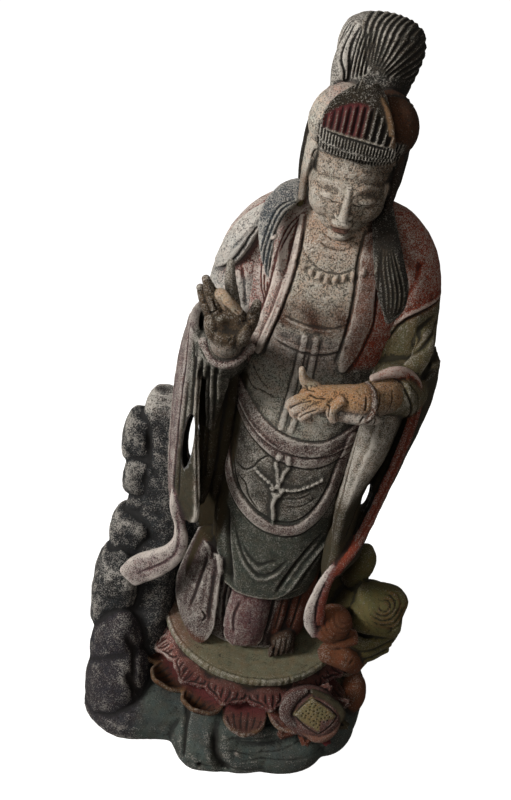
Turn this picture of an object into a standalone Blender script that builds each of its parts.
"""Carved wooden statue: a robed figure standing on a lotus platform over a sea rock.

X points to the viewer's right, Y away from the viewer and Z up. The origin is on the underside.
The figure's pose and carving are given in carving units, of which a figure of the drawn height
has one per millimetre. Base sizes are in metres.
"""
import math

import bmesh
import bpy
import numpy as np

# Sizes in metres
HEIGHT = 0.610
PLATFORM_TOP = 0.082
PLATFORM_RADIUS = 0.082
PLATFORM_EDGE = 0.009
PETAL_LENGTH = 0.045
PETAL_WALL = 0.007
BASE_WIDTH = 0.268
BASE_DEPTH = 0.205
SPIRE_TOP = 0.281
SCROLL_TOP = 0.188
BUD_WIDTH = 0.056
CLAY = 0.0026
FACES = 9950
FINE_FACES = 3900

# The heights that the carving units were drawn for
DRAWN_TOP = 610.0
DRAWN_FOOT = 82.0
DRAWN_RADIUS = 82.0
DRAWN_SPIRE = 281.0
DRAWN_SCROLL = 188.0
DRAWN_BUD = 56.0
DRAWN_WIDTH = 268.0
DRAWN_DEPTH = 205.0

WOOD = (0.30, 0.24, 0.19, 1.0)


def to_figure(points):
    """Carving units of the figure, which stands on the platform, to metres."""
    scale = (HEIGHT - PLATFORM_TOP) / (DRAWN_TOP - DRAWN_FOOT)
    out = np.array(points, dtype=float) * scale
    out[:, 2] += PLATFORM_TOP - DRAWN_FOOT * scale
    return out


def to_lotus(points):
    """Carving units of the lotus platform to metres."""
    wide = PLATFORM_RADIUS / DRAWN_RADIUS
    return np.array(points, dtype=float) * (wide, wide, PLATFORM_TOP / DRAWN_FOOT)


def to_base(points):
    """Carving units of the sea rock to metres."""
    scale = (BASE_WIDTH / DRAWN_WIDTH, BASE_DEPTH / DRAWN_DEPTH, PLATFORM_TOP / DRAWN_FOOT)
    return np.array(points, dtype=float) * scale


def to_spire(points):
    """Carving units of the rock spire to metres."""
    scale = (BASE_WIDTH / DRAWN_WIDTH, BASE_DEPTH / DRAWN_DEPTH, SPIRE_TOP / DRAWN_SPIRE)
    return np.array(points, dtype=float) * scale


def to_scroll(points):
    """Carving units of the wave scroll to metres."""
    scale = (BASE_WIDTH / DRAWN_WIDTH, BASE_DEPTH / DRAWN_DEPTH, SCROLL_TOP / DRAWN_SCROLL)
    return np.array(points, dtype=float) * scale


class Clay:
    """A heap of closed forms that are fused into one solid later."""

    def __init__(self, place):
        self.place = place
        self.points = []
        self.faces = []

    def add(self, points, faces):
        first = len(self.points)
        self.points.extend(tuple(point) for point in points)
        self.faces.extend(tuple(first + index for index in face) for face in faces)

    def rings(self, rings):
        """A closed form through rings of points, each ring with as many points."""
        count = len(rings[0])
        points = [point for ring in rings for point in ring]
        faces = []
        for row in range(len(rings) - 1):
            for k in range(count):
                after = (k + 1) % count
                low = row * count
                faces.append((low + k, low + after, low + count + after, low + count + k))
        faces.append(tuple(reversed(range(count))))
        last = (len(rings) - 1) * count
        faces.append(tuple(last + k for k in range(count)))
        self.add(points, faces)

    def blob(self, centre, radii, turn=(0, 0, 0), sides=20, rows=12):
        """An ellipsoid with its radii, turned about X, then Y, then Z, in degrees."""
        rings = []
        for row in range(1, rows):
            polar = math.pi * row / rows
            ring = []
            for k in range(sides):
                angle = 2 * math.pi * k / sides
                across = math.sin(polar)
                ring.append((radii[0] * across * math.cos(angle),
                             radii[1] * across * math.sin(angle),
                             -radii[2] * math.cos(polar)))
            rings.append(turned(ring, turn) + np.array(centre, dtype=float))
        self.rings(rings)

    def tube(self, points, radii, flat=1.0, facing=None, sides=14, steps=5, square=2.0):
        """A rounded rod along a smooth path. flat is its thickness across over its width, and facing
        the direction that its flat side looks in."""
        path = smooth(points, steps)
        width = smooth([(r, 0, 0) for r in radii], steps)[:, 0]
        flats = smooth([(f, 0, 0) for f in spread(flat, len(points))], steps)[:, 0]
        ends = (0.0, 0.5, 0.8, 0.95)
        tangents = np.gradient(path, axis=0)
        tangents /= np.linalg.norm(tangents, axis=1)[:, None] + 1e-12
        if facing is None:
            facing = (0.13, -0.91, 0.39)
        looks = np.array(facing, dtype=float)
        if looks.ndim == 1:
            looks = np.tile(looks, (len(points), 1))
        looks = smooth(looks, steps)
        rings = []
        for k, centre in enumerate(path):
            normal = looks[k] - tangents[k] * np.dot(looks[k], tangents[k])
            normal /= np.linalg.norm(normal) + 1e-12
            side = np.cross(tangents[k], normal)
            ring = []
            for s in range(sides):
                angle = 2 * math.pi * s / sides
                across = rounded(math.cos(angle), square) * width[k]
                out = rounded(math.sin(angle), square) * width[k] * flats[k]
                ring.append(centre + side * across + normal * out)
            rings.append(np.array(ring))
        first, last = rings[0], rings[-1]
        reach = min(width[0], width[0] * flats[0])
        start = [path[0] + (first - path[0]) * math.sqrt(1 - (1 - e) ** 2 + 1e-3)
                 - tangents[0] * reach * (1 - e) for e in ends]
        reach = min(width[-1], width[-1] * flats[-1])
        finish = [path[-1] + (last - path[-1]) * math.sqrt(1 - (1 - e) ** 2 + 1e-3)
                  + tangents[-1] * reach * (1 - e) for e in reversed(ends)]
        self.rings(start + rings + finish)

    def sheet(self, rows, wall):
        """A cloth or petal of an even wall over a grid of points."""
        grid = np.array(rows, dtype=float)
        along = np.gradient(grid, axis=0)
        across = np.gradient(grid, axis=1)
        normal = np.cross(along, across)
        normal /= np.linalg.norm(normal, axis=2)[:, :, None] + 1e-12
        high = grid + normal * wall / 2
        low = grid - normal * wall / 2
        m, n = grid.shape[:2]
        points = list(high.reshape(-1, 3)) + list(low.reshape(-1, 3))
        faces = []
        size = m * n
        for i in range(m - 1):
            for j in range(n - 1):
                a, b, c, d = i * n + j, i * n + j + 1, (i + 1) * n + j + 1, (i + 1) * n + j
                faces.append((a, d, c, b))
                faces.append((size + a, size + b, size + c, size + d))
        edge = [j for j in range(n)] + [i * n + n - 1 for i in range(1, m)]
        edge += [(m - 1) * n + j for j in range(n - 2, -1, -1)] + [i * n for i in range(m - 2, 0, -1)]
        for k, a in enumerate(edge):
            b = edge[(k + 1) % len(edge)]
            faces.append((a, b, size + b, size + a))
        self.add(points, faces)

    def mesh(self, name):
        mesh = bpy.data.meshes.new(name)
        mesh.from_pydata([tuple(p) for p in self.place(self.points)], [], self.faces)
        work = bmesh.new()
        work.from_mesh(mesh)
        bmesh.ops.recalc_face_normals(work, faces=work.faces)
        work.to_mesh(mesh)
        work.free()
        return mesh


def rounded(value, square):
    return math.copysign(abs(value) ** (2.0 / square), value)


def spread(value, count):
    return [value] * count if isinstance(value, (int, float)) else list(value)


def turned(points, turn):
    """The points turned about X, then Y, then Z, in degrees."""
    ax, ay, az = (math.radians(angle) for angle in turn)
    about_x = np.array([[1, 0, 0], [0, math.cos(ax), -math.sin(ax)], [0, math.sin(ax), math.cos(ax)]])
    about_y = np.array([[math.cos(ay), 0, math.sin(ay)], [0, 1, 0], [-math.sin(ay), 0, math.cos(ay)]])
    about_z = np.array([[math.cos(az), -math.sin(az), 0], [math.sin(az), math.cos(az), 0], [0, 0, 1]])
    return np.array(points, dtype=float) @ (about_z @ about_y @ about_x).T


def smooth(points, steps):
    """Points on a smooth curve through the given ones."""
    ctrl = np.array(points, dtype=float)
    if len(ctrl) == 1:
        return ctrl
    padded = np.vstack([2 * ctrl[0] - ctrl[1], ctrl, 2 * ctrl[-1] - ctrl[-2]])
    out = []
    for k in range(1, len(padded) - 2):
        a, b, c, d = padded[k - 1], padded[k], padded[k + 1], padded[k + 2]
        for s in range(steps):
            t = s / steps
            out.append(0.5 * (2 * b + (c - a) * t + (2 * a - 5 * b + 4 * c - d) * t * t
                              + (3 * b - a - 3 * c + d) * t ** 3))
    out.append(padded[-2])
    return np.array(out)


def mirrored(points):
    return [(-x, y, z) for x, y, z in points]


# The body under the robe: height, middle, half width, front and back
BODY = (
    (82, -6, 50, -46, 40),
    (112, -4, 47, -44, 40),
    (141, -2, 42, -42, 38),
    (147, -1, 46, -51, 41),
    (180, 0, 51, -50, 42),
    (220, 1, 54, -49, 42),
    (262, 1, 54, -48, 40),
    (300, 0, 53, -46, 38),
    (340, 0, 56, -43, 36),
    (380, 0, 60, -41, 35),
    (412, 1, 61, -40, 33),
    (440, 1, 58, -37, 30),
    (460, 1, 46, -32, 25),
    (474, 1, 30, -26, 19),
    (484, 1, 20, -22, 12),
)


def body_at(z):
    levels = [row[0] for row in BODY]
    return [float(np.interp(z, levels, [row[k] for row in BODY])) for k in range(1, 5)]


def on_body(x, z, lift=0.0):
    """The point of the body's front at x and z, lifted off it."""
    middle, half, front, back = body_at(z)
    y_mid = (front + back) / 2
    depth = (back - front) / 2
    share = min(abs(x - middle) / half, 0.985)
    y = y_mid - depth * (1 - share ** 2.2) ** (1 / 2.2)
    out = np.array([(x - middle) / half ** 2, (y - y_mid) / depth ** 2])
    out /= np.linalg.norm(out) + 1e-12
    return (x + out[0] * lift, y + out[1] * lift, z)


def on_back(x, z, lift=0.0):
    """The point of the body's back at x and z, lifted off it."""
    middle, half, front, back = body_at(z)
    y_mid = (front + back) / 2
    px, py, pz = on_body(x, z, lift)
    return (px, 2 * y_mid - py, pz)


def body_forms():
    clay = Clay(to_figure)
    rings = []
    for z, middle, half, front, back in BODY:
        y_mid, depth = (front + back) / 2, (back - front) / 2
        ring = []
        for k in range(48):
            angle = 2 * math.pi * k / 48
            ring.append((middle + half * rounded(math.cos(angle), 2.2),
                         y_mid + depth * rounded(math.sin(angle), 2.2), z))
        rings.append(np.array(ring))
    clay.rings(rings)
    clay.tube([(0, 4, 450), (0, -2, 472), (0, -8, 496)], (19, 17.5, 17))
    return clay


HEAD_AT = (0, -14, 518)
BOW = 10.0


def head_point(points):
    """Points of the head, drawn upright about its middle, bowed into place."""
    return turned(points, (BOW, 0, 0)) + np.array(HEAD_AT, dtype=float)


def head_forms():
    """The face, its hair, the tiara and the topknot."""
    clay = Clay(lambda points: to_figure(head_point(points)))
    clay.blob((0, 2, 9), (31, 35, 33))
    clay.blob((0, -8, -9), (26.5, 27.5, 33), sides=28, rows=18)
    clay.blob((0, -13, -26), (18.5, 19, 18))
    clay.blob((0, -26.5, -37.5), (8, 7, 7))
    for side in (-1, 1):
        clay.blob((13.5 * side, -22, -14), (10, 10, 11))
        clay.blob((11.5 * side, -29.5, -8.5), (7.5, 5, 3.8), (0, 6 * side, 16 * side))
        brow = [(3.5, -34, -2), (11, -33.5, 1.5), (19, -27.5, 0), (23, -21, -5)]
        clay.tube([(x * side, y, z) for x, y, z in brow], (2.2, 2.4, 2.0, 1.6))
        clay.tube([(28.5 * side, -3, 2), (29.5 * side, -4, -12), (28.5 * side, -6, -34)], (6, 5, 4.4),
                  flat=0.6, facing=(side, 0, 0))
        clay.tube([(28.5 * side, 2, 26), (29.5 * side, -1, 4), (28 * side, 6, -22), (23 * side, 14, -36)],
                  (6, 6, 6, 5))
        clay.blob((3.6 * side, -33, -21), (3.4, 3.6, 3))
    clay.tube([(0, -33.5, -2), (0, -36.5, -12), (0, -38.5, -19.5)], (2.6, 3.2, 4.2))
    clay.blob((0, -33, -29), (8.6, 3.6, 2.2))
    clay.blob((0, -32, -33), (7, 3.8, 2.4))
    # the combed hair over the brow, and the mass of hair behind it
    comb = []
    for z, wide, front in ((14, 29, -29), (19, 31.5, -33), (28, 33, -36), (38, 32.5, -35), (47, 29, -31)):
        comb.append([(wide * math.sin(t), 2 + (front - 2) * math.cos(t), z + 5 * (1 - math.cos(2 * t)) * -0.9)
                     for t in (2 * math.pi * k / 32 for k in range(32))])
    clay.rings([np.array(ring) for ring in comb])
    clay.blob((1, 2, 20), (34, 35, 30), sides=28, rows=16)
    clay.blob((0, 12, -12), (31, 23, 34))
    clay.tube([(0, 24, -6), (0, 26, -36), (0, 25, -64), (0, 21, -88)], (25, 22, 17, 8), flat=0.45, facing=(0, 1, 0))
    # the tiara: a lobe to either side and a pointed leaf between them
    clay.blob((-16, -9, 37), (17.5, 24, 21), (-8, 12, -30), sides=28, rows=16)
    clay.blob((17, -7, 36), (16.5, 24, 20), (-8, -12, 30), sides=28, rows=16)
    clay.blob((-27, -8, 22), (7, 17, 20), (8, 6, 0))
    clay.blob((27.5, -6, 22), (6.5, 17, 20), (8, -6, 0))
    leaf = []
    for z, half, front in ((26, 21, -36), (35, 19.5, -36.5), (44, 16.5, -33.5), (52, 12, -28), (59, 7, -21),
                           (65.5, 2.5, -13)):
        leaf.append([(1.5 + half * v, front + 5.5 * v * v, z) for v in (k / 4 for k in range(-4, 5))])
    clay.sheet(leaf, 9)
    for side, foot in ((-1, 28), (1, 24)):
        rim = [(21.5, -32, foot), (19, -34, 37), (14.5, -31.5, 47), (8, -24, 58), (1.5, -14, 66)]
        clay.tube([(1.5 + (x - 1.5) * side, y, z) for x, y, z in rim], (2.8, 2.8, 2.8, 2.8, 2.4))
    knot = Clay(to_figure)
    levels = ((550, 22, 22), (560, 22.5, 23), (572, 25, 25), (584, 27.5, 27), (595, 28, 27), (603, 24.5, 23.5),
              (607.5, 18, 17), (610, 9, 8))
    rings = []
    for z, wide, deep in levels:
        ring = []
        for k in range(60):
            angle = 2 * math.pi * k / 60
            groove = 1 + 0.035 * math.cos(15 * angle + (z - 560) * 0.035) * (z < 605)
            ring.append((2 + (z - 560) * 0.03 + wide * groove * math.sin(angle), -1 - deep * groove * math.cos(angle), z))
        rings.append(np.array(ring))
    knot.rings(rings)
    knot.tube([(-18, -13, 562), (-17, -14, 582), (-12, -12, 599)], (6.5, 8, 7.5))
    return [clay, knot]


def neck_forms():
    """The necklace, the lapels and the locks of hair that fall over the shoulders."""
    clay = Clay(to_figure)
    beads = 9
    for k in range(beads):
        share = k / (beads - 1)
        x = -25 + 46 * share
        z = 452 - 14 * math.sin(math.pi * (0.12 + 0.76 * share)) + 6 * abs(share - 0.5)
        clay.blob(on_body(x, z, 1.0), (3.0, 3.0, 3.0), sides=8, rows=6)
    left = [(-28, 488), (-27, 468), (-27, 445), (-30, 422), (-32, 400), (-36, 376), (-38, 352)]
    right = [(20, 480), (22, 462), (24, 440), (25, 416), (24, 392), (20, 372), (16, 356)]
    for band, width in ((left, 6.5), (right, 6.0)):
        clay.tube([on_body(x, z, 2.0) for x, z in band], (width,) * 7, flat=0.62)
    outer_left = [(-38, 486), (-38, 462), (-39, 440), (-42, 416), (-45, 396), (-47, 376)]
    outer_right = [(31, 478), (34, 460), (36, 438), (38, 416), (37, 398), (35, 382)]
    for band in (outer_left, outer_right):
        clay.tube([on_body(x, z, 2.5) for x, z in band], (6.0,) * 6, flat=0.7)
    for shift, foot in ((0, 426), (8, 436), (16, 446)):
        lock = [(-38 - shift, -20 + shift, 481 - shift / 2), (-44 - shift, -31 + shift / 2, 466 - shift / 2),
                (-45 - shift * 0.7, -37 + shift / 2, 450), (-45 - shift * 0.4, -41 + shift / 3, foot)]
        clay.tube(lock, (5, 5.5, 5, 2.6), flat=0.8)
    clay.tube([(28, -20, 480), (35, -31, 466), (43, -37, 446), (50, -40, 420)], (8, 10, 10, 5), flat=0.6)
    # the inner garment, its tie and the belt's knot
    clay.tube([on_body(x, 376 + abs(x + 4) * 0.25, 1.0) for x in (-30, -16, -2, 12)], (3.4,) * 4)
    for shift in (-4.5, 4.5):
        tie = [on_body(-8 + shift - 0.06 * (372 - z), z, 1.6) for z in (372, 350, 326, 306)]
        clay.tube(tie, (2.8,) * 4)
    return clay


def arm_forms():
    """Shoulders, upper arms and forearms in their sleeves."""
    clay = Clay(to_figure)
    clay.tube([(-22, 4, 478), (-42, 4, 462), (-55, 2, 438), (-61, -3, 400), (-64, -10, 362)],
              (13, 19, 22.5, 24, 24), sides=20)
    clay.tube([(20, 4, 480), (40, 4, 466), (55, 2, 442), (61, -3, 404), (64, -8, 366)],
              (13, 20, 23.5, 25, 26.5), sides=20)
    # forearms: the viewer's left one rises to the hand, the right one lies level
    clay.tube([(-68, -14, 356), (-67, -46, 374), (-60, -76, 398)], (24, 20, 15), sides=18)
    clay.tube([(64, -12, 360), (64, -40, 368), (55, -66, 378)], (24, 21, 17), sides=18)
    clay.tube([(64, -44, 378), (54, -68, 380), (38, -84, 380), (22, -88, 380)], (15, 14, 13, 11.5), sides=16)
    clay.tube([(40, -97, 369), (45, -98, 381), (42, -88, 393), (36, -78, 391)], (2.8,) * 4)
    # the mantle's hem across either upper arm
    clay.tube([(79, 2, 438), (74, -20, 428), (62, -33, 412), (45, -42, 394)], (4.5, 6, 6, 5), flat=0.7)
    clay.tube([(-64, 0, 462), (-70, -12, 446), (-69, -24, 430), (-60, -33, 412)], (4, 6, 6, 5), flat=0.7)
    for shift in (0, 13, 26):
        fold = [(77 - shift * 0.1, -20, 418 - shift), (70, -34, 402 - shift), (58, -44, 392 - shift)]
        clay.tube(fold, (3.4, 4.6, 4.0))
    return clay


def raised_hand():
    """The viewer's left hand, its palm to the viewer and two fingers bent to the thumb."""
    clay = Clay(to_figure)
    clay.tube([(-60, -74, 396), (-60, -84, 406), (-61, -88, 416)], (11, 10.5, 10))
    clay.blob((-61, -87, 423), (14.5, 8, 16.5), (10, 0, 0))
    clay.tube([(-71, -86, 426), (-77, -89, 437), (-80, -91, 447)], (5.4, 4.8, 3.6))
    clay.tube([(-67, -88, 430), (-73, -93, 444), (-77, -94, 455)], (5.6, 5.0, 3.6))
    clay.tube([(-61, -88, 434), (-68, -96, 447), (-62, -101, 446), (-54, -100, 441)], (5.4, 5.0, 4.6, 3.8))
    clay.tube([(-60, -84, 436), (-64, -85, 452), (-65, -84, 465)], (5, 4.2, 3.0))
    clay.tube([(-52, -83, 414), (-46, -86, 429), (-44, -90, 444)], (6.4, 5.2, 3.6))
    clay.tube([(-75, -80, 402), (-64, -90, 396), (-52, -90, 397), (-43, -80, 404)], (4.6,) * 4)
    return clay


def level_hand():
    """The viewer's right hand, lying palm up with its thumb raised."""
    clay = Clay(to_figure)
    clay.blob((14, -88, 380), (24, 11.5, 9.5), (0, 4, 0))
    clay.tube([(8, -92, 384), (-6, -96, 378), (-14, -95, 372)], (5.4, 4.8, 3.8))
    clay.tube([(14, -97, 384), (2, -102, 376), (10, -103, 371)], (5, 4.8, 4))
    clay.tube([(20, -98, 382), (10, -104, 374), (20, -104, 371)], (5, 4.8, 4.2))
    clay.tube([(4, -84, 384), (-5, -85, 391), (-8, -87, 400)], (5.6, 4.4, 3))
    return clay


def slab(clay, levels):
    """A hanging sleeve: plan ovals from a front to a back end, of a half thickness, level by level."""
    rings = []
    for z, front, back, half in levels:
        front, back = np.array(front, dtype=float), np.array(back, dtype=float)
        middle, along = (front + back) / 2, (back - front) / 2
        reach = np.linalg.norm(along)
        side = np.array([along[1], -along[0]]) / reach
        ring = []
        for k in range(28):
            angle = 2 * math.pi * k / 28
            spot = middle + along * (1 + half * 0.3 / reach) * rounded(math.cos(angle), 2.3)
            spot = spot + side * half * rounded(math.sin(angle), 2.3)
            ring.append((spot[0], spot[1], z))
        rings.append(np.array(ring))
    clay.rings(rings)


def sleeve_forms():
    clay = Clay(to_figure)
    slab(clay, (
        (392, (-62, -74), (-67, 0), 12),
        (372, (-71, -68), (-76, 2), 15.5),
        (345, (-73, -62), (-79, 3), 16),
        (310, (-73, -59), (-80, 2), 15),
        (280, (-70, -58), (-82, 0), 13),
        (250, (-67, -57), (-84, -2), 10.5),
        (230, (-66, -53), (-84, -8), 8),
        (218, (-68, -44), (-80, -18), 4),
    ))
    slab(clay, (
        (374, (56, -62), (69, -4), 15),
        (345, (53, -70), (72, -4), 13),
        (310, (48, -71), (68, -8), 11.5),
        (280, (46, -70), (67, -14), 10),
        (250, (46, -69), (69, -24), 8.5),
        (228, (48, -66), (73, -36), 7),
        (210, (54, -60), (71, -46), 4),
    ))
    # pleats down the outside of the sleeves
    for x, front, top, foot in ((-84, -46, 376, 262), (-87, -26, 380, 250), (-86, -6, 376, 246)):
        clay.tube([(x + 3, front, top), (x, front + 2, (top + foot) / 2), (x + 1, front, foot)], (4, 5, 3))
    for x, front, top, foot in ((73, -46, 344, 262), (78, -26, 352, 262), (79, -4, 360, 282)):
        clay.tube([(x, front, top), (x - 4, front, (top + foot) / 2), (x - 10, front, foot)], (4, 5, 3))
    # rims round the sleeves' openings
    clay.tube([(-74, -66, 384), (-77, -60, 360), (-76, -58, 334), (-73, -58, 306), (-69, -58, 274), (-64, -58, 244),
               (-63, -56, 226)], (4.6,) * 7, flat=0.8)
    clay.tube([(44, -72, 360), (43, -75, 326), (41, -75, 290), (40, -73, 256), (45, -71, 228), (50, -70, 214)],
              (4.4,) * 6, flat=0.8)
    clay.tube([(56, -60, 398), (69, -57, 390), (77, -52, 374), (78, -48, 346), (75, -48, 312), (71, -52, 280),
               (67, -58, 252), (61, -64, 230), (51, -70, 214)], (4.6, 5, 5.4, 5.6, 5.4, 5.4, 5.6, 5.8, 6), flat=0.75)
    return clay


def scarf_forms():
    """The scarf ends that fall to the rock on either side."""
    clay = Clay(to_figure)
    clay.tube([(-82, -40, 252), (-80, -43, 226), (-76, -45, 206), (-74, -46, 190), (-79, -46, 174), (-90, -44, 160),
               (-103, -42, 147), (-113, -42, 135)], (6, 6.5, 6, 6.5, 8, 9.5, 11, 11),
              flat=(0.7, 0.6, 0.6, 0.6, 0.5, 0.4, 0.35, 0.3), facing=(0.25, -0.85, 0.45), square=2.6)
    clay.tube([(51, -70, 222), (48, -74, 202), (46, -76, 182), (47, -77, 164), (54, -77, 150), (68, -74, 146),
               (80, -68, 148)], (6, 7, 8, 9.5, 10.5, 10, 8), flat=(0.6, 0.5, 0.5, 0.45, 0.4, 0.4, 0.4),
              facing=(-0.1, -0.9, 0.4), square=2.6)
    clay.blob((67, -52, 133), (14, 24, 12))
    return clay


def garland(clay, points, radii, lift=2.0, flat=0.7, back=False):
    place = on_back if back else on_body
    clay.tube([place(x, z, lift) for x, z in points], spread(radii, len(points)), flat=flat)


def skirt_forms():
    """Sashes, folds and hems over the skirt."""
    clay = Clay(to_figure)
    garland(clay, ((-50, 322), (-36, 306), (-14, 298), (8, 299), (30, 312), (50, 330)), 6.5)
    garland(clay, ((-50, 300), (-46, 272), (-36, 248), (-21, 230), (-4, 221), (13, 223), (26, 238), (38, 262)), 4.6)
    swag = 8
    for k in range(swag):
        share = k / (swag - 1)
        spot = on_body(-26 + 52 * share, 277 - 15 * math.sin(math.pi * share), 1.5)
        clay.blob(spot, (3.2, 3.2, 3.2), sides=8, rows=6)
    for k in range(4):
        clay.blob(on_body(-6 + k, 256 - 8.5 * k, 1.5), (2.8, 2.8, 3.4), sides=8, rows=6)
    for low, foot in ((0, 0), (12, -4), (24, -8)):
        garland(clay, ((-32 + low * 0.5, 210 - low * 1.2), (-14 + low * 0.2, 186 - low), (0, 176 - low),
                       (14 - low * 0.2, 188 - low), (28 - low * 0.5, 212 - low * 1.2)), (2.6, 3.6, 4.2, 3.6, 2.6))
    for x, top, foot, wide in ((-47, 250, 150, 6), (-36, 205, 148, 5), (38, 232, 150, 5), (47, 250, 150, 6)):
        garland(clay, ((x, top), (x * 0.98, (top + foot) / 2), (x * 0.94, foot)), (wide * 0.6, wide, wide))
    # the overskirt's flap, which rises to the viewer's right
    garland(clay, ((8, 148), (16, 152), (27, 168), (38, 190), (46, 214)), (3.6, 4.6, 5.2, 4.6, 3.4))
    # the inner skirt's drapes and the feet
    clay.tube([(-40, -28, 176), (-45, -30, 150), (-48, -33, 122), (-49, -36, 96)], (13, 14, 16, 15), flat=0.7)
    clay.tube([(-58, -12, 172), (-60, -16, 132), (-62, -20, 94)], (7, 9, 10), flat=0.8)
    clay.tube([(-40, -42, 140), (-37, -44, 116), (-36, -46, 96)], (4.5, 5.5, 5.5))
    clay.tube([(-7, -38, 166), (-7, -42, 140), (-7, -45, 116), (-7, -46, 96)], (16, 17, 18, 15), flat=0.6)
    for x, wide in ((-20, 3.6), (-7, 4.6), (5, 3.6)):
        clay.tube([(x + 2, -46, 156), (x, -52, 130), (x - 1, -54, 104)], (wide * 0.7, wide, wide))
    clay.tube([(34, -18, 168), (34, -22, 142), (33, -24, 116), (33, -24, 96)], (13, 14, 14, 14), flat=0.8)
    clay.blob((31, -36, 91), (11, 18, 10))
    toes = 5
    for k in range(toes):
        clay.blob((22 + 4.9 * k, -51 + 1.9 * k, 87.5), (3.1, 6, 4.2), sides=10, rows=8)
    clay.blob((-46, -42, 88), (11, 13, 8))
    return clay


# The mantle behind: height, viewer's left, viewer's right, front and back
MANTLE = (
    (96, -60, 52, 4, 44),
    (150, -68, 55, 4, 45),
    (205, -80, 57, 0, 44),
    (245, -75, 58, -2, 43),
    (290, -70, 61, -2, 41),
    (340, -75, 68, -4, 39),
    (400, -76, 73, -4, 37),
    (440, -66, 66, -2, 33),
    (466, -46, 46, -2, 27),
    (480, -24, 24, 0, 18),
)


def on_mantle(x, z):
    """The point of the mantle's back at x and z."""
    levels = [row[0] for row in MANTLE]
    left, right, front, back = [float(np.interp(z, levels, [row[k] for row in MANTLE])) for k in range(1, 5)]
    share = min(abs(x - (left + right) / 2) / ((right - left) / 2), 0.98)
    return (x, (front + back) / 2 + (back - front) / 2 * (1 - share ** 2.4) ** (1 / 2.4), z)


def back_forms():
    """The mantle behind, in long plain folds."""
    clay = Clay(to_figure)
    rings = []
    for z, left, right, front, back in MANTLE:
        middle, half, depth = (left + right) / 2, (right - left) / 2, (back - front) / 2
        rings.append(np.array([(middle + half * rounded(math.cos(2 * math.pi * k / 44), 2.4),
                                (front + back) / 2 + depth * rounded(math.sin(2 * math.pi * k / 44), 2.4), z)
                               for k in range(44)]))
    clay.rings(rings)
    for x, foot, wide in ((-50, 118, 7), (-33, 104, 8), (-14, 110, 8.5), (6, 102, 8.5), (25, 110, 8), (42, 116, 7)):
        path = [on_mantle(x * share, z) for share, z in ((0.8, 430), (1, 360), (1.02, 280), (1, 200), (0.95, foot))]
        clay.tube(path, (wide * 0.4, wide * 0.7, wide, wide, wide), flat=0.55)
    for z in (440, 404, 364):
        clay.tube([on_mantle(x, z + 0.42 * abs(x)) for x in (-46, -24, 0, 24, 46)], (3, 4.6, 5.4, 4.6, 3), flat=0.7)
    return clay


def lotus_forms():
    """The round platform with its two rows of petals."""
    clay = Clay(to_lotus)
    ring = lambda z, r: [(r * math.cos(2 * math.pi * k / 56), r * math.sin(2 * math.pi * k / 56), z)
                         for k in range(56)]
    edge = PLATFORM_EDGE / PLATFORM_TOP * DRAWN_FOOT
    clay.rings([ring(-4, 58), ring(30, 60), ring(52, 72), ring(82 - edge - 5, 78), ring(82 - edge - 1, 77),
                ring(82 - edge + 1, 82), ring(82 - 1.5, 82), ring(82, 80.5)])
    length = PETAL_LENGTH / PLATFORM_RADIUS * DRAWN_RADIUS
    wall = PETAL_WALL / PLATFORM_RADIUS * DRAWN_RADIUS
    upper = 14
    for k in range(upper):
        petal(clay, 360 * (k + 0.5) / upper + 3, 72, 73, 61, length * 0.5, 19, wall, 4)
    lower = 12
    for k in range(lower):
        petal(clay, 360 * k / lower - 2, 66, 60, 42, length, 23, wall, 40)
    return clay


def petal(clay, turn, start, z, foot, length, half, wall, curl):
    """One petal: from a start radius at height z it bows out and down, its tip curling up."""
    turn = math.radians(turn)
    out = np.array((math.cos(turn), math.sin(turn), 0))
    side = np.array((-math.sin(turn), math.cos(turn), 0))
    rows = []
    for i in range(9):
        u = i / 8
        wide = half * (1 - (2 * u - 0.9) ** 2 * 0.55) * (1 - max(0, u - 0.7) ** 2 * 8)
        height = z + (foot - z) * math.sin(u * math.pi / 2) + curl * max(0, u - 0.55) ** 2 * 1.6
        row = []
        for j in range(-4, 5):
            v = j / 4
            row.append(out * (start + length * u - 4 * v * v) + side * wide * v
                       + np.array((0, 0, height - 5 * v * v * (1 - u) + 5 * v * v * u)))
        rows.append(row)
    clay.sheet(rows, wall)


# The plan of the sea rock, round from the viewer's right, with the notch at its front left
PLAN = ((116, 4), (112, -26), (106, -50), (95, -69), (76, -86), (52, -98), (18, -113), (-8, -117), (-30, -119),
        (-43, -110), (-51, -97), (-63, -96), (-98, -102), (-124, -88), (-135, -66), (-132, -30), (-130, 10),
        (-118, 45), (-85, 72), (-40, 84), (10, 86), (60, 78), (98, 50))


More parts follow.
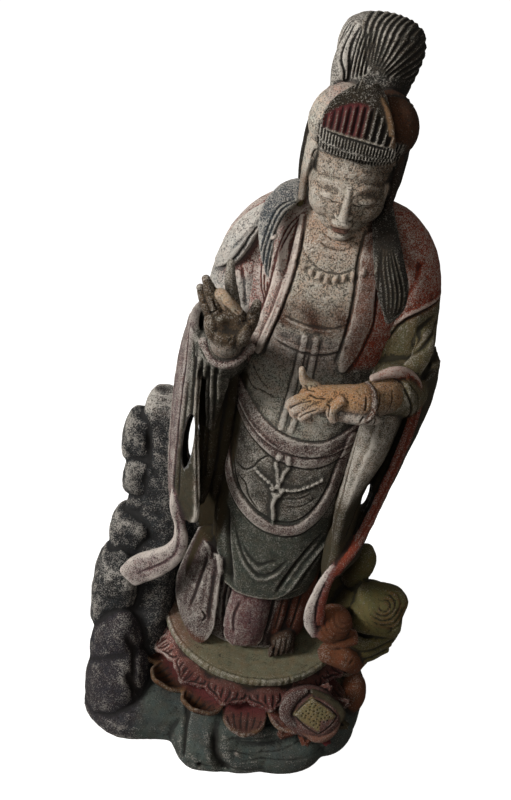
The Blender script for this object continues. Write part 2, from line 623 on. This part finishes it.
def base_forms():
    """The sea rock under the platform, a low mass of waves and stones."""
    clay = Clay(to_base)
    rings = []
    for z, share in ((-6, 1.01), (4, 1.03), (14, 1.0), (23, 0.93), (31, 0.82), (38, 0.66), (42, 0.5)):
        rings.append(np.array([(x * share, y * share, z) for x, y in PLAN]))
    clay.rings(rings)
    lumps = (
        (-16, -84, 14, 40, 36, 26), (32, -76, 12, 50, 34, 26), (74, -48, 14, 34, 36, 28),
        (90, -8, 20, 22, 42, 34), (101, -30, 38, 13, 18, 20), (-104, -60, 24, 28, 34, 36), (-116, -48, 30, 20, 26, 38),
        (-74, -62, 14, 34, 34, 28), (-104, -10, 34, 30, 42, 44), (-60, 48, 36, 50, 42, 42),
        (44, 50, 34, 52, 40, 40), (-6, 64, 34, 48, 34, 38),
    )
    for x, y, z, rx, ry, rz in lumps:
        clay.blob((x, y, z - 6), (rx, ry, rz), sides=24, rows=14)
    waves = (
        ((-38, -103, 10), (-10, -108, 16), (22, -104, 15), (52, -92, 12)),
        ((-30, -96, 26), (4, -99, 29), (34, -92, 26), (62, -78, 28)),
        ((90, -58, 16), (103, -30, 20), (106, 0, 22), (98, 30, 18)),
    )
    for wave in waves:
        clay.tube(wave, (7, 9, 9, 7))
    return clay


def spire_forms():
    """The jagged rock spire at the viewer's left, in stacked blocks."""
    clay = Clay(to_spire)
    blocks = (
        (-122, -46, 46, 21, 32, 46, 0), (-120, -12, 68, 27, 32, 50, 8), (-126, -18, 100, 21, 24, 36, -6),
        (-121, 6, 122, 22, 24, 40, 5), (-111, 20, 160, 14, 20, 34, -5), (-119, 26, 199, 13.5, 16, 32, 4),
        (-128, 28, 236, 12.5, 14, 26, -4), (-113, 26, 261, 12, 12, 22, 8), (-104, 20, 216, 14, 16, 46, -6),
        (-98, 12, 158, 16, 20, 44, 5), (-108, -22, 130, 14, 18, 28, 10), (-96, 28, 96, 30, 24, 58, 0),
        (-92, 14, 200, 12, 14, 50, 3),
    )
    for x, y, z, rx, ry, rz, tilt in blocks:
        rock(clay, (x, y, z), (rx, ry, rz), tilt)
    return clay


def rock(clay, centre, radii, tilt):
    """A blunt block: a ball pushed towards a box, with its corners cut."""
    rings = []
    rows, sides = 9, 12
    for row in range(rows + 1):
        v = -1 + 2 * row / rows
        across = (1 - abs(v) ** 3.4) ** (1 / 3.0) * 0.97 + 0.03
        ring = []
        for k in range(sides):
            angle = 2 * math.pi * (k + 0.5 * (row % 2)) / sides
            chip = 1 + 0.07 * math.sin(3 * angle + centre[2] * 0.11 + row)
            ring.append((radii[0] * across * chip * rounded(math.cos(angle), 3),
                         radii[1] * across * chip * rounded(math.sin(angle), 3), radii[2] * v))
        rings.append(turned(ring, (tilt * 0.6, tilt, tilt * 2)) + np.array(centre, dtype=float))
    clay.rings(rings)


def scroll_forms():
    """The curling wave at the viewer's right."""
    clay = Clay(to_scroll)
    clay.blob((80, 14, 66), (22, 30, 72), sides=20, rows=14)
    clay.blob((99, -16, 119), (32, 22, 36), (-18, 0, 0), sides=24, rows=14)
    turns, count = 1.5, 18
    curl = []
    for k in range(count):
        share = k / (count - 1)
        angle = math.radians(-150) + 2 * math.pi * turns * share
        reach = 24 * (1 - share) + 4
        across, rise = -reach * math.cos(angle), reach * math.sin(angle)
        curl.append((98 + across, -34 - 2 * share + rise * 0.5, 134 + rise * 0.85))
    clay.tube(curl, [6 - 2 * k / (count - 1) for k in range(count)], steps=3, sides=10)
    for rise, wide in ((-1, 6.5), (-12, 6), (-21, 5)):
        clay.tube([(72, -38, 113 + rise), (96, -41, 110 + rise), (119, -29, 114 + rise)],
                  (wide * 0.8, wide, wide * 0.7))
    clay.tube([(78, 0, 146), (84, -2, 166), (82, -2, 178)], (12, 10, 7))
    return clay


def bud_forms():
    """The lotus bloom with its seed head at the viewer's front right."""
    clay = Clay(to_base)
    size = BUD_WIDTH / 0.056 * 0.92
    centre = np.array((60.0, -84.0, 58.0))
    turn = (38, 14, 0)
    clay.blob(centre, (20 * size, 20 * size, 17 * size), turn)
    clay.blob(centre + turned([(0, 0, 12 * size)], turn)[0], (15 * size, 15 * size, 8 * size), turn)
    petals = 7
    for k in range(petals):
        angle = 2 * math.pi * k / petals
        rows = []
        for i in range(7):
            u = i / 6
            row = []
            for j in range(-3, 4):
                v = j / 3
                wide = (0.62 - 0.35 * u * u) * v
                reach = (16 + 13 * math.sin(u * 2.4)) * size
                row.append((reach * math.cos(angle + wide), reach * math.sin(angle + wide),
                            (-14 + 32 * u + 3 * v * v) * size))
            rows.append(turned(row, turn) + centre)
        clay.sheet(rows, 5.0 * size)
    return clay


def fused(name, clays):
    """One closed skin round all the forms."""
    clear = []
    for k, clay in enumerate(clays):
        item = bpy.data.objects.new(name + "_form_" + str(k), clay.mesh(name + "_form_" + str(k)))
        bpy.context.scene.collection.objects.link(item)
        clear.append(item)
    work = bmesh.new()
    for item in clear:
        work.from_mesh(item.data)
    mesh = bpy.data.meshes.new(name)
    work.to_mesh(mesh)
    work.free()
    for item in clear:
        old = item.data
        bpy.data.objects.remove(item)
        bpy.data.meshes.remove(old)
    solid = bpy.data.objects.new(name, mesh)
    bpy.context.scene.collection.objects.link(solid)
    skinned(solid)
    return solid


def skinned(item):
    """One even, closed skin in place of the object's own faces."""
    skin = item.modifiers.new("skin", "REMESH")
    skin.mode = "VOXEL"
    skin.voxel_size = CLAY
    bake(item)


def bake(item):
    """The object's modifiers made into its mesh."""
    graph = bpy.context.evaluated_depsgraph_get()
    mesh = bpy.data.meshes.new_from_object(item.evaluated_get(graph))
    item.modifiers.clear()
    old = item.data
    item.data = mesh
    bpy.data.meshes.remove(old)


def carved(item, clay):
    """The object with every form of the clay cut out of it."""
    tool = bpy.data.objects.new("tool", clay.mesh("tool"))
    bpy.context.scene.collection.objects.link(tool)
    cut = item.modifiers.new("cut", "BOOLEAN")
    cut.operation = "DIFFERENCE"
    cut.solver = "EXACT"
    cut.use_self = True
    cut.object = tool
    bake(item)
    old = tool.data
    bpy.data.objects.remove(tool)
    bpy.data.meshes.remove(old)


def hollow_forms():
    """The hollows of both sleeves and the gap through each of them."""
    clay = Clay(to_figure)
    clay.tube([(-59, -66, 372), (-60, -58, 340), (-60, -54, 300), (-58, -54, 262), (-56, -58, 236)],
              (7, 10, 11, 10, 5), flat=1.5, sides=16)
    clay.tube([(64, -74, 350), (65, -68, 320), (62, -66, 290), (59, -68, 262), (56, -74, 240)],
              (5, 7, 7, 6, 3), flat=1.8, sides=16)
    clay.tube([(-79, -76, 312), (-78, -30, 280), (-78, 30, 250)], (6, 5.5, 6), flat=4.0, facing=(0, -0.4, 1))
    clay.tube([(63, -76, 288), (64, -36, 264), (66, 30, 226)], (4.5, 4.5, 5), flat=2.8, facing=(0, -0.4, 1))
    return clay


def in_detail(points):
    """Which points are on the head or the hands, where the faces stay small."""
    scale = (HEIGHT - PLATFORM_TOP) / (DRAWN_TOP - DRAWN_FOOT)
    x, y, z = points[:, 0] / scale, points[:, 1] / scale, (points[:, 2] - PLATFORM_TOP) / scale + DRAWN_FOOT
    head = z > 470
    raised = (y < -78) & (z > 398) & (z < 470)
    level = (y < -78) & (z > 362) & (z < 402) & (x < 40)
    return head | raised | level


def thinned(item, faces, keep):
    """Fewer faces where keep is false, and no fewer where it is true."""
    group = item.vertex_groups.new(name="free")
    group.add([int(index) for index in np.nonzero(~keep)[0]], 1.0, "REPLACE")
    item.data.calc_loop_triangles()
    thin = item.modifiers.new("thin", "DECIMATE")
    thin.ratio = min(1.0, faces / len(item.data.loop_triangles))
    thin.vertex_group = "free"
    thin.use_collapse_triangulate = True
    bake(item)
    item.vertex_groups.clear()


def spots(item):
    points = np.empty(len(item.data.vertices) * 3)
    item.data.vertices.foreach_get("co", points)
    return points.reshape(-1, 3)


def reduced(item):
    """The skin with fewer faces, and a flat underside at height zero."""
    fine = in_detail(spots(item))
    item.data.calc_loop_triangles()
    corners = np.array([triangle.vertices[:] for triangle in item.data.loop_triangles])
    kept = int(fine[corners].all(axis=1).sum())
    thinned(item, FACES - FINE_FACES + kept, fine)
    thinned(item, FACES, ~in_detail(spots(item)))
    work = bmesh.new()
    work.from_mesh(item.data)
    bmesh.ops.bisect_plane(work, geom=work.verts[:] + work.edges[:] + work.faces[:], plane_co=(0, 0, 0),
                           plane_no=(0, 0, -1), clear_outer=True)
    rim = [edge for edge in work.edges if edge.is_boundary and abs(edge.verts[0].co.z) < CLAY / 100]
    bmesh.ops.triangle_fill(work, use_beauty=True, use_dissolve=False, edges=rim)
    bmesh.ops.triangulate(work, faces=work.faces[:])
    bmesh.ops.recalc_face_normals(work, faces=work.faces)
    work.to_mesh(item.data)
    work.free()


def paint(item):
    material = bpy.data.materials.new("carved_wood")
    material.use_nodes = True
    shader = material.node_tree.nodes["Principled BSDF"]
    shader.inputs["Base Color"].default_value = WOOD
    shader.inputs["Roughness"].default_value = 0.8
    item.data.materials.clear()
    item.data.materials.append(material)


def main():
    for item in list(bpy.data.objects):
        bpy.data.objects.remove(item)
    clays = [body_forms()] + head_forms()
    clays += [neck_forms(), arm_forms(), raised_hand(), level_hand(), sleeve_forms(), scarf_forms()]
    clays += [skirt_forms(), back_forms(), lotus_forms(), base_forms(), spire_forms(), scroll_forms(), bud_forms()]
    statue = fused("guanyin_statue", clays)
    carved(statue, hollow_forms())
    skinned(statue)
    reduced(statue)
    paint(statue)


main()
